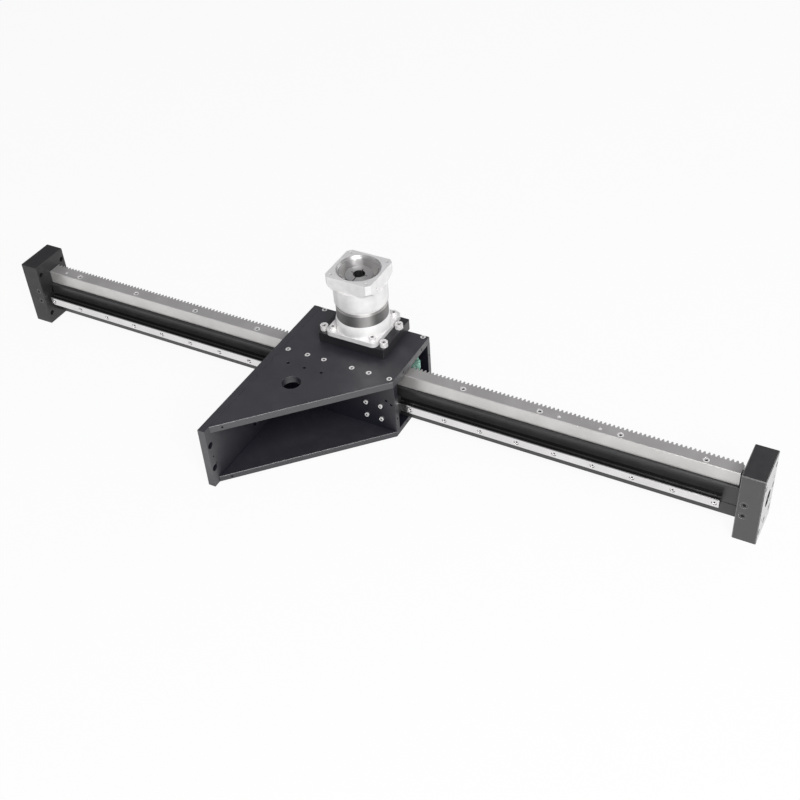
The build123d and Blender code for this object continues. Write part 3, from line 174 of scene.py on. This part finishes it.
def metal(name, light, dark, metallic, rough, patch=0.03, grain=0.0006, depth=0.00002, stretch=EVEN,
          edge_wear_and_glint=None, edge_radius=0.0004, ior=1.5, lines=0.35, turned=0.0, socket_shade_reach=0.0):
    """Worked metal: mottled colour, uneven gloss, a fine grain, edges painted lighter as wear and as a
    painted highlight, and painted shade in sockets.
    """
    surface = Surface(name)
    mottle = surface.noise(patch)
    fine = surface.noise(grain, stretch, 2.0)
    colour = surface.mix(surface.remap(mottle, 0.35, 0.65, 0.0, 1.0), dark, light)
    colour = surface.mix(surface.remap(fine, 0.3, 0.7, 0.0, lines), colour, dark)
    normal = None
    if edge_wear_and_glint is not None:
        normal, mask = surface.edges(edge_radius)
        # Edges are painted lighter: partly wear, partly a painted highlight
        wear_and_glint = surface.remap(surface.noise(0.004), 0.3, 0.6, 0.35, 1.0)
        colour = surface.mix(surface.times(mask, wear_and_glint), colour, edge_wear_and_glint)
    # Painted shade deep in sockets and counterbores
    if socket_shade_reach:
        colour = surface.mix(surface.occluded_shade(socket_shade_reach), colour, SOCKET_SHADE)
    surface.colour = colour
    surface.link(colour, surface.shader.inputs["Base Color"])
    smear = surface.noise(patch * 0.4)
    surface.link(surface.remap(smear, 0.3, 0.7, rough[0], rough[1]), surface.shader.inputs["Roughness"])
    surface.link(surface.bump(fine, depth, normal), surface.shader.inputs["Normal"])
    surface.plain(Metallic=metallic, IOR=ior)
    if turned:
        surface.plain(Anisotropic=turned)
        surface.link(surface.across_grooves(gearbox_axis), surface.shader.inputs["Tangent"])
    return surface


black_plate = metal("black_plate", (0.031, 0.030, 0.036), (0.024, 0.023, 0.029), 0.0, (0.34, 0.44),
                    edge_wear_and_glint=(0.10, 0.10, 0.11), ior=1.9)
black_adaptor = metal("black_adaptor", (0.016, 0.015, 0.018), (0.011, 0.010, 0.013), 0.0, (0.34, 0.44),
                      edge_wear_and_glint=(0.07, 0.07, 0.08), ior=1.6)
# A darker copy of the plates' black, as painted shade, for the guide plate inside the compartment
room_plate_shaded = metal("room_plate_shaded", (0.012, 0.012, 0.018), (0.008, 0.008, 0.013), 0.0, (0.34, 0.44),
                   edge_wear_and_glint=(0.10, 0.10, 0.11), ior=1.6)
black_beam = metal("black_beam", (0.028, 0.027, 0.028), (0.020, 0.020, 0.021), 0.0, (0.28, 0.36),
                   edge_wear_and_glint=(0.08, 0.08, 0.08), ior=1.65, lines=0.2)
# Two copies of one black finish for the end blocks, set apart by how the light falls on each: the left gets a
# duller gloss and dim edges, the right a glossier face and bright painted highlights along its edges
left_block_shaded = metal("left_block_shaded", (0.020, 0.020, 0.021), (0.014, 0.014, 0.015), 0.0, (0.40, 0.50),
                   edge_wear_and_glint=(0.12, 0.12, 0.13), edge_radius=0.0006, ior=1.5)
right_block_glinting = metal("right_block_glinting", (0.012, 0.012, 0.013), (0.008, 0.008, 0.009), 0.0, (0.34, 0.42),
                    edge_wear_and_glint=(0.60, 0.60, 0.61), edge_radius=0.0007, ior=1.95)
rack_metal = metal("rack_metal", (0.68, 0.67, 0.655), (0.59, 0.58, 0.565), 0.65, (0.30, 0.40), patch=0.05,
                   edge_wear_and_glint=(0.76, 0.75, 0.74), grain=0.0008, socket_shade_reach=0.007)
rail_metal = metal("rail_metal", (0.80, 0.79, 0.79), (0.70, 0.69, 0.69), 0.95, (0.16, 0.24), patch=0.06,
                   stretch=LONGWAYS, socket_shade_reach=0.003)
slide_metal = metal("slide_metal", (0.56, 0.56, 0.56), (0.46, 0.46, 0.46), 0.9, (0.25, 0.35),
                    stretch=LONGWAYS, edge_wear_and_glint=(0.7, 0.7, 0.7))
screw_metal = metal("screw_metal", (0.90, 0.89, 0.88), (0.78, 0.77, 0.76), 0.25, (0.22, 0.32), patch=0.006,
                    grain=0.0003, depth=0.00001, edge_wear_and_glint=(0.95, 0.95, 0.95), edge_radius=0.0003, socket_shade_reach=0.003)
dark_screw = metal("dark_screw", (0.030, 0.030, 0.032), (0.018, 0.018, 0.020), 0.0, (0.25, 0.35), patch=0.004,
                   grain=0.0003, depth=0.00001, edge_wear_and_glint=(0.16, 0.16, 0.16), edge_radius=0.0003, ior=1.8)
cast_metal = metal("cast_metal", (0.87, 0.865, 0.86), (0.78, 0.775, 0.77), 0.3, (0.32, 0.44), patch=0.015,
                   grain=0.0009, depth=0.00005, edge_wear_and_glint=(0.92, 0.915, 0.91), edge_radius=0.0006)
turned_metal = metal("turned_metal", (0.34, 0.335, 0.33), (0.28, 0.276, 0.272), 1.0, (0.52, 0.57), patch=0.02,
                     grain=0.0006, stretch=ROUND, depth=0.000005, lines=0.5, turned=0.9)
shaft_metal = metal("shaft_metal", (0.50, 0.49, 0.48), (0.38, 0.37, 0.36), 0.9, (0.25, 0.35), patch=0.01,
                    stretch=ROUND, edge_wear_and_glint=(0.7, 0.7, 0.7), turned=0.5)
collar_metal = metal("collar_metal", (0.66, 0.655, 0.65), (0.58, 0.575, 0.57), 0.8, (0.40, 0.46), patch=0.02,
                     depth=0.000003, edge_wear_and_glint=(0.80, 0.80, 0.80), lines=0.15, turned=0.6, socket_shade_reach=0.0025)
hub_metal = metal("hub_metal", (0.72, 0.72, 0.72), (0.6, 0.6, 0.6), 1.0, (0.25, 0.35), stretch=ROUND)
cap_plastic = metal("cap_plastic", (0.035, 0.036, 0.04), (0.022, 0.023, 0.026), 0.0, (0.40, 0.55),
                    grain=0.0005, depth=0.00004, edge_wear_and_glint=(0.08, 0.08, 0.09))
seal_rubber = metal("seal_rubber", (0.022, 0.022, 0.022), (0.012, 0.012, 0.012), 0.0, (0.55, 0.75),
                    grain=0.0004, depth=0.00003)
felt_cloth = metal("felt_cloth", (0.38, 0.63, 0.53), (0.26, 0.51, 0.41), 0.0, (0.85, 0.95), patch=0.003,
                   grain=0.0006, depth=0.0004)

# Painted shade: the rail's running faces behind its bright front are painted dark
RUNNING_FACE_SHADE = (0.085, 0.084, 0.084)
FRONT_DEPTH = 0.0006
rail_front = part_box("guide_rail")[0][1]
shaded_behind_front = rail_metal.along("Y", rail_front + FRONT_DEPTH, rail_front + 2 * FRONT_DEPTH)
rail_metal.colour_where(shaded_behind_front, RUNNING_FACE_SHADE)

# Painted shade: the plates are painted nearly black, with less gloss, inside the carriage's compartment and
# beside the adaptor
ROOM_REACH = 0.09
ROOM_CLOSED, ROOM_OPEN = 0.30, 0.74
ROOM_SHADE = (0.010, 0.010, 0.017)
OPEN_SPECULAR, ROOM_SPECULAR = 0.5, 0.10
for plate in (black_plate, room_plate_shaded):
    room_shade = plate.occluded_shade(ROOM_REACH, ROOM_CLOSED, ROOM_OPEN, own=False)
    plate.colour_where(room_shade, ROOM_SHADE)
    specular = plate.remap(room_shade, 0.0, 1.0, OPEN_SPECULAR, ROOM_SPECULAR)
    plate.link(specular, plate.shader.inputs["Specular IOR Level"])

# Painted shade: the felt gear is painted dark where the carriage closes over it
FELT_REACH = 0.04
FELT_CLOSED, FELT_OPEN = 0.08, 0.50
FELT_SHADE = (0.03, 0.07, 0.055)
felt_cloth.colour_where(felt_cloth.occluded_shade(FELT_REACH, FELT_CLOSED, FELT_OPEN, own=False), FELT_SHADE)

# Bored and faced surfaces inside the motor flange are turned steel, not cast
BORED_RADIUS = 0.0355
BORED_COLOUR = (0.82, 0.815, 0.81)
BORED_SHARES = {"Metallic": (0.3, 0.95), "Anisotropic": (0.0, 0.9)}
bored = cast_metal.inside(gearbox_axis, BORED_RADIUS)
cast_metal.colour_where(bored, BORED_COLOUR)
for share_name, (cast_share, bored_share) in BORED_SHARES.items():
    bored_value = cast_metal.remap(bored, 0.0, 1.0, cast_share, bored_share)
    cast_metal.link(bored_value, cast_metal.shader.inputs[share_name])
cast_metal.link(cast_metal.across_grooves(gearbox_axis), cast_metal.shader.inputs["Tangent"])

# The end of the ring gear under the input housing is bright
BAND_START, BAND_END = 0.0046, 0.0040
BAND_COLOUR = (0.60, 0.59, 0.58)
ring_band = turned_metal.along("Z", ring_high[2] - BAND_START, ring_high[2] - BAND_END)
turned_metal.colour_where(ring_band, BAND_COLOUR)

# The outer faces of the end blocks are fine milled and shine when seen at a low angle
OUTER_SHARES = (0.990, 0.996)
outer_x = max(abs(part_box("end_block_left")[0][0]), abs(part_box("end_block_right")[1][0]))
outer_start, outer_end = (outer_x * outer_share for outer_share in OUTER_SHARES)
for block in (left_block_shaded, right_block_glinting):
    block_normal = block.add("ShaderNodeSeparateXYZ")
    block_place = block.add("ShaderNodeSeparateXYZ")
    block.link(block.coordinates.outputs["Normal"], block_normal.inputs["Vector"])
    block.link(block.coordinates.outputs["Object"], block_place.inputs["Vector"])
    outward = block.times(block_normal.outputs["X"], block_place.outputs["X"])
    outer_face = block.remap(outward, outer_start, outer_end, 0.0, 1.0)
    block.link(outer_face, block.shader.inputs["Coat Weight"])
    block.plain(Coat_Roughness=0.10, Coat_IOR=2.0)

# Painted shade: the bore for the motor shaft is painted dark inside
SHAFT_BORE_RADIUS = 0.0097
SHAFT_BORE_SHADE = (0.05, 0.05, 0.05)
collar_metal.colour_where(collar_metal.inside(gearbox_axis, SHAFT_BORE_RADIUS), SHAFT_BORE_SHADE)

finishes = {
    black_plate: ("top_plate", "bottom_plate", "back_plate", "mounting_plate"),
    room_plate_shaded: ("guide_plate",),
    black_adaptor: ("adaptor_plate",),
    black_beam: ("beam_profile",),
    left_block_shaded: ("end_block_left",),
    right_block_glinting: ("end_block_right",),
    rack_metal: ("rack_long", "rack_short", "pinion"),
    rail_metal: ("guide_rail",),
    slide_metal: ("guide_block_left", "guide_block_right"),
    dark_screw: ("block_side_screws", "end_block_screws"),
    screw_metal: (
        "rack_screws", "rail_screws", "top_plate_screws", "bottom_plate_screws", "mounting_plate_screws",
        "guide_block_screws", "adaptor_screws", "gearbox_flange_screws", "clamp_screw", "pinion_screw",
        "pinion_washer", "rack_dowels", "grease_nipples",
    ),
    cast_metal: ("output_housing", "input_housing", "motor_flange", "access_plug"),
    turned_metal: ("ring_gear",),
    shaft_metal: (
        "output_shaft", "planet_pins", "pinion_key", "planet_gear_1", "planet_gear_2", "planet_gear_3",
        "sun_gear", "felt_gear_axle", "planet_needles_1", "planet_needles_2", "planet_needles_3",
        "output_bearing_front", "output_bearing_back", "input_bearing",
    ),
    collar_metal: ("input_hub", "clamp_collar"),
    hub_metal: ("felt_gear_hub",),
    cap_plastic: ("block_end_caps",),
    seal_rubber: ("block_end_seals", "output_seal"),
    felt_cloth: ("felt_gear",),
}
for surface, names in finishes.items():
    for name in names:
        nodes[name].data.materials.clear()
        nodes[name].data.materials.append(surface.material)

# Floor: pale, white to the camera and to reflections, with a soft shadow kept
FLOOR_SIZE = 16.0
FLOOR_COLOUR = (0.80, 0.80, 0.80, 1.0)
FLOOR_WHITE_SHARE = 0.92
floor_mesh = bpy.data.meshes.new("floor")
half = FLOOR_SIZE / 2
corners = [(-half, -half, 0), (half, -half, 0), (half, half, 0), (-half, half, 0)]
floor_mesh.from_pydata(corners, [], [(0, 1, 2, 3)])
floor = bpy.data.objects.new("floor", floor_mesh)
bpy.context.scene.collection.objects.link(floor)
floor_surface = Surface("floor_white")
floor_surface.plain(Base_Color=FLOOR_COLOUR, Roughness=0.9)
paths = floor_surface.add("ShaderNodeLightPath")
seen = floor_surface.add("ShaderNodeMath", operation="MAXIMUM")
seen_all = floor_surface.add("ShaderNodeMath", operation="MAXIMUM")
share = floor_surface.add("ShaderNodeMath", operation="MULTIPLY")
share.inputs[1].default_value = FLOOR_WHITE_SHARE
glow = floor_surface.add("ShaderNodeEmission")
blend = floor_surface.add("ShaderNodeMixShader")
floor_surface.link(paths.outputs["Is Camera Ray"], seen.inputs[0])
floor_surface.link(paths.outputs["Is Glossy Ray"], seen.inputs[1])
floor_surface.link(seen.outputs["Value"], seen_all.inputs[0])
floor_surface.link(paths.outputs["Is Transmission Ray"], seen_all.inputs[1])
floor_surface.link(seen_all.outputs["Value"], share.inputs[0])
floor_surface.link(share.outputs["Value"], blend.inputs["Fac"])
floor_surface.link(floor_surface.shader.outputs["BSDF"], blend.inputs[1])
floor_surface.link(glow.outputs["Emission"], blend.inputs[2])
floor_surface.link(blend.outputs["Shader"], floor_surface.tree.nodes["Material Output"].inputs["Surface"])
floor_mesh.materials.append(floor_surface.material)

# World: pale near the horizon and darker high up, as in a studio with a bright sweep, and
# white to the camera. The fade runs between two heights of the direction looked in
WORLD_LOW = (0.70, 0.70, 0.70, 1.0)
WORLD_HIGH = (0.20, 0.195, 0.21, 1.0)
WORLD_WHITE = (1.0, 1.0, 1.0, 1.0)
FADE_START, FADE_END = 0.10, 0.45
world = bpy.data.worlds.new("studio")
world.use_nodes = True
bpy.context.scene.world = world
tree = world.node_tree
direction = tree.nodes.new("ShaderNodeTexCoord")
split = tree.nodes.new("ShaderNodeSeparateXYZ")
height = tree.nodes.new("ShaderNodeMapRange")
height.inputs["From Min"].default_value = FADE_START
height.inputs["From Max"].default_value = FADE_END
colours = tree.nodes.new("ShaderNodeMix")
colours.data_type = "RGBA"
colours.inputs[MIX_FIRST].default_value = WORLD_LOW
colours.inputs[MIX_SECOND].default_value = WORLD_HIGH
tree.links.new(direction.outputs["Generated"], split.inputs["Vector"])
tree.links.new(split.outputs["Z"], height.inputs["Value"])
tree.links.new(height.outputs["Result"], colours.inputs[MIX_FACTOR])
backdrop = tree.nodes.new("ShaderNodeMix")
backdrop.data_type = "RGBA"
backdrop.inputs[MIX_SECOND].default_value = WORLD_WHITE
world_paths = tree.nodes.new("ShaderNodeLightPath")
tree.links.new(world_paths.outputs["Is Camera Ray"], backdrop.inputs[MIX_FACTOR])
tree.links.new(colours.outputs[MIX_RESULT], backdrop.inputs[MIX_FIRST])
tree.links.new(backdrop.outputs[MIX_RESULT], tree.nodes["Background"].inputs["Color"])
tree.nodes["Background"].inputs["Strength"].default_value = 1.0

# Soft studio lamps: name, place, size, watts
LAMPS = (
    ("key_lamp", (1.4, -2.1, 3.0), 2.0, 100.0),
    ("fill_lamp", (2.3, -1.6, 1.9), 0.9, 36.0),
    ("back_lamp", (1.6, 2.4, 1.6), 1.4, 12.0),
)
for name, place, size, watts in LAMPS:
    lamp = bpy.data.lights.new(name, "AREA")
    lamp.size = size
    lamp.energy = watts
    holder = bpy.data.objects.new(name, lamp)
    holder.location = place
    holder.rotation_euler = (-Vector(place)).to_track_quat("-Z", "Y").to_euler()
    bpy.context.scene.collection.objects.link(holder)

camera_data = bpy.data.cameras.new("camera")
camera_data.sensor_width = SENSOR_MM
camera_data.lens = FOCAL_PIXELS / FRAME_PIXELS * SENSOR_MM
camera_data.shift_x = (FRAME_PIXELS / 2 - CENTRE_PIXELS[0]) / FRAME_PIXELS
camera_data.shift_y = -(FRAME_PIXELS / 2 - CENTRE_PIXELS[1]) / FRAME_PIXELS
camera = bpy.data.objects.new("camera", camera_data)
axes = Matrix((CAMERA_RIGHT, -Vector(CAMERA_DOWN), -Vector(CAMERA_FORWARD))).transposed()
camera.matrix_world = Matrix.Translation(CAMERA_PLACE) @ axes.to_4x4()
bpy.context.scene.collection.objects.link(camera)
bpy.context.scene.camera = camera

bpy.context.scene.view_settings.view_transform = "Standard"
